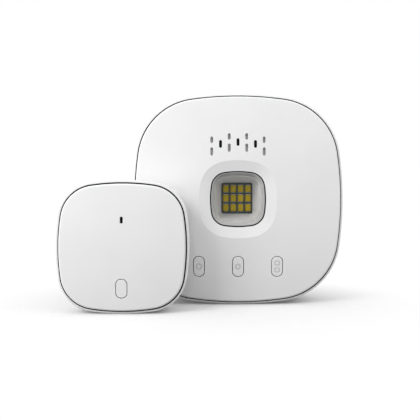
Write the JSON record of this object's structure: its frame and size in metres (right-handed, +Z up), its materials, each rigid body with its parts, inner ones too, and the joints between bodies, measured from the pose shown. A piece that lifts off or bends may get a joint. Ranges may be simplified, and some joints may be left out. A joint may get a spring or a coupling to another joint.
{
  "type": "smart garage controller",
  "caption": "Rounded-square garage door hub with warning lamp, sounder slots, push buttons and a twist-off ceiling bracket, and its smaller battery door sensor standing in front",
  "frame": {"origin": "bottom centre of the bounding box of the set as it stands, both units at rest", "axes": "+Z up; the two faces look towards -Y; +X is to the right as seen from the front, where the hub stands"},
  "size_m": [0.1336, 0.0462, 0.1016],
  "materials": {
    "white_shell": "satin white",
    "white_button": "satin white",
    "bracket_plastic": "fine texture",
    "clear_window": "clear",
    "reflector_plastic": "satin light grey",
    "dark_guide": "smoked",
    "green_board": "solder mask",
    "dark_board": "dark solder mask",
    "yellow_lamp": "phosphor",
    "clear_lamp": "clear resin",
    "thermal_pad": "soft",
    "screw_steel": "zinc plated",
    "bright_steel": "bright",
    "chip_black": "moulded",
    "capacitor_can": "bare can",
    "black_plastic": "moulded",
    "switch_body": "pressed",
    "switch_plunger": "moulded",
    "mesh_cloth": "fine woven",
    "copper_wire": "enamelled copper",
    "fastener_tape": "hook-and-loop"
  },
  "bodies": {
    "hub": {"hub_rear_cover": "white_shell", "hub_front_cover": "white_shell", "hub_case_screws": "screw_steel", "lamp_window": "clear_window", "lamp_reflector": "reflector_plastic", "lamp_leds": "yellow_lamp", "lamp_board": "dark_board", "lamp_thermal_pad": "thermal_pad", "hub_main_board": "green_board", "main_board_screws": "screw_steel", "alarm_sounder": "black_plastic", "sounder_mesh": "mesh_cloth", "indicator_guide": "dark_guide", "indicator_leds": "clear_lamp", "hub_button_switches": "switch_body", "radio_module": "green_board", "radio_shield": "bright_steel", "hub_board_chips": "chip_black", "hub_capacitors": "capacitor_can", "power_inductor": "chip_black", "hub_antenna_wire": "copper_wire", "power_inlet": "bright_steel", "inlet_tongue": "chip_black"},
    "bracket": {"ceiling_bracket": "bracket_plastic"},
    "left_press": {"left_button": "white_button", "left_switch_plunger": "switch_plunger"},
    "middle_press": {"middle_button": "white_button", "middle_switch_plunger": "switch_plunger"},
    "right_press": {"right_button": "white_button", "right_switch_plunger": "switch_plunger"},
    "sensor": {"sensor_rear_cover": "white_shell", "sensor_board": "green_board", "sensor_board_screws": "screw_steel", "sensor_switch": "switch_body", "sensor_led": "clear_lamp", "coin_cell": "bright_steel", "battery_cradle": "black_plastic", "cell_bottom_contact": "bright_steel", "cell_spring_contact": "bright_steel", "sensor_board_chips": "chip_black", "tilt_switch": "black_plastic", "sensor_antenna_wire": "copper_wire", "sensor_fastener_pads": "fastener_tape"},
    "sensor_lid": {"sensor_front_cover": "white_shell", "sensor_light_guide": "dark_guide"},
    "sensor_press": {"sensor_button": "white_button"},
    "sensor_plunger": {"sensor_switch_plunger": "switch_plunger"}
  },
  "joints": [
    {"name": "bracket_twist", "type": "hinge", "parent": "hub", "child": "bracket", "pos_m": [0.016, 0.0221, 0.0508], "axis": [0, 1, 0], "range_deg": [0, 30]},
    {"name": "left_button_press", "type": "slide", "parent": "hub", "child": "left_press", "axis": [0, 1, 0], "range_m": [0, 0.0006], "stiffness_N_per_m": 1000},
    {"name": "middle_button_press", "type": "slide", "parent": "hub", "child": "middle_press", "axis": [0, 1, 0], "range_m": [0, 0.0006], "stiffness_N_per_m": 1000},
    {"name": "right_button_press", "type": "slide", "parent": "hub", "child": "right_press", "axis": [0, 1, 0], "range_m": [0, 0.0006], "stiffness_N_per_m": 1000},
    {"name": "sensor_carry", "type": "slide", "parent": "hub", "child": "sensor", "axis": [-1, 0, 0], "range_m": [0, 0.06]},
    {"name": "sensor_lid_lift", "type": "slide", "parent": "sensor", "child": "sensor_lid", "axis": [0, -1, 0], "range_m": [0, 0.02]},
    {"name": "sensor_button_press", "type": "slide", "parent": "sensor_lid", "child": "sensor_press", "axis": [0, 1, 0], "range_m": [0, 0.0006], "stiffness_N_per_m": 1000},
    {"name": "sensor_plunger_press", "type": "slide", "parent": "sensor", "child": "sensor_plunger", "axis": [0, 1, 0], "range_m": [0, 0.0006]}
  ],
  "couplings": [
    {"joint": "sensor_plunger_press", "follows": "sensor_button_press", "ratio": 1}
  ]
}
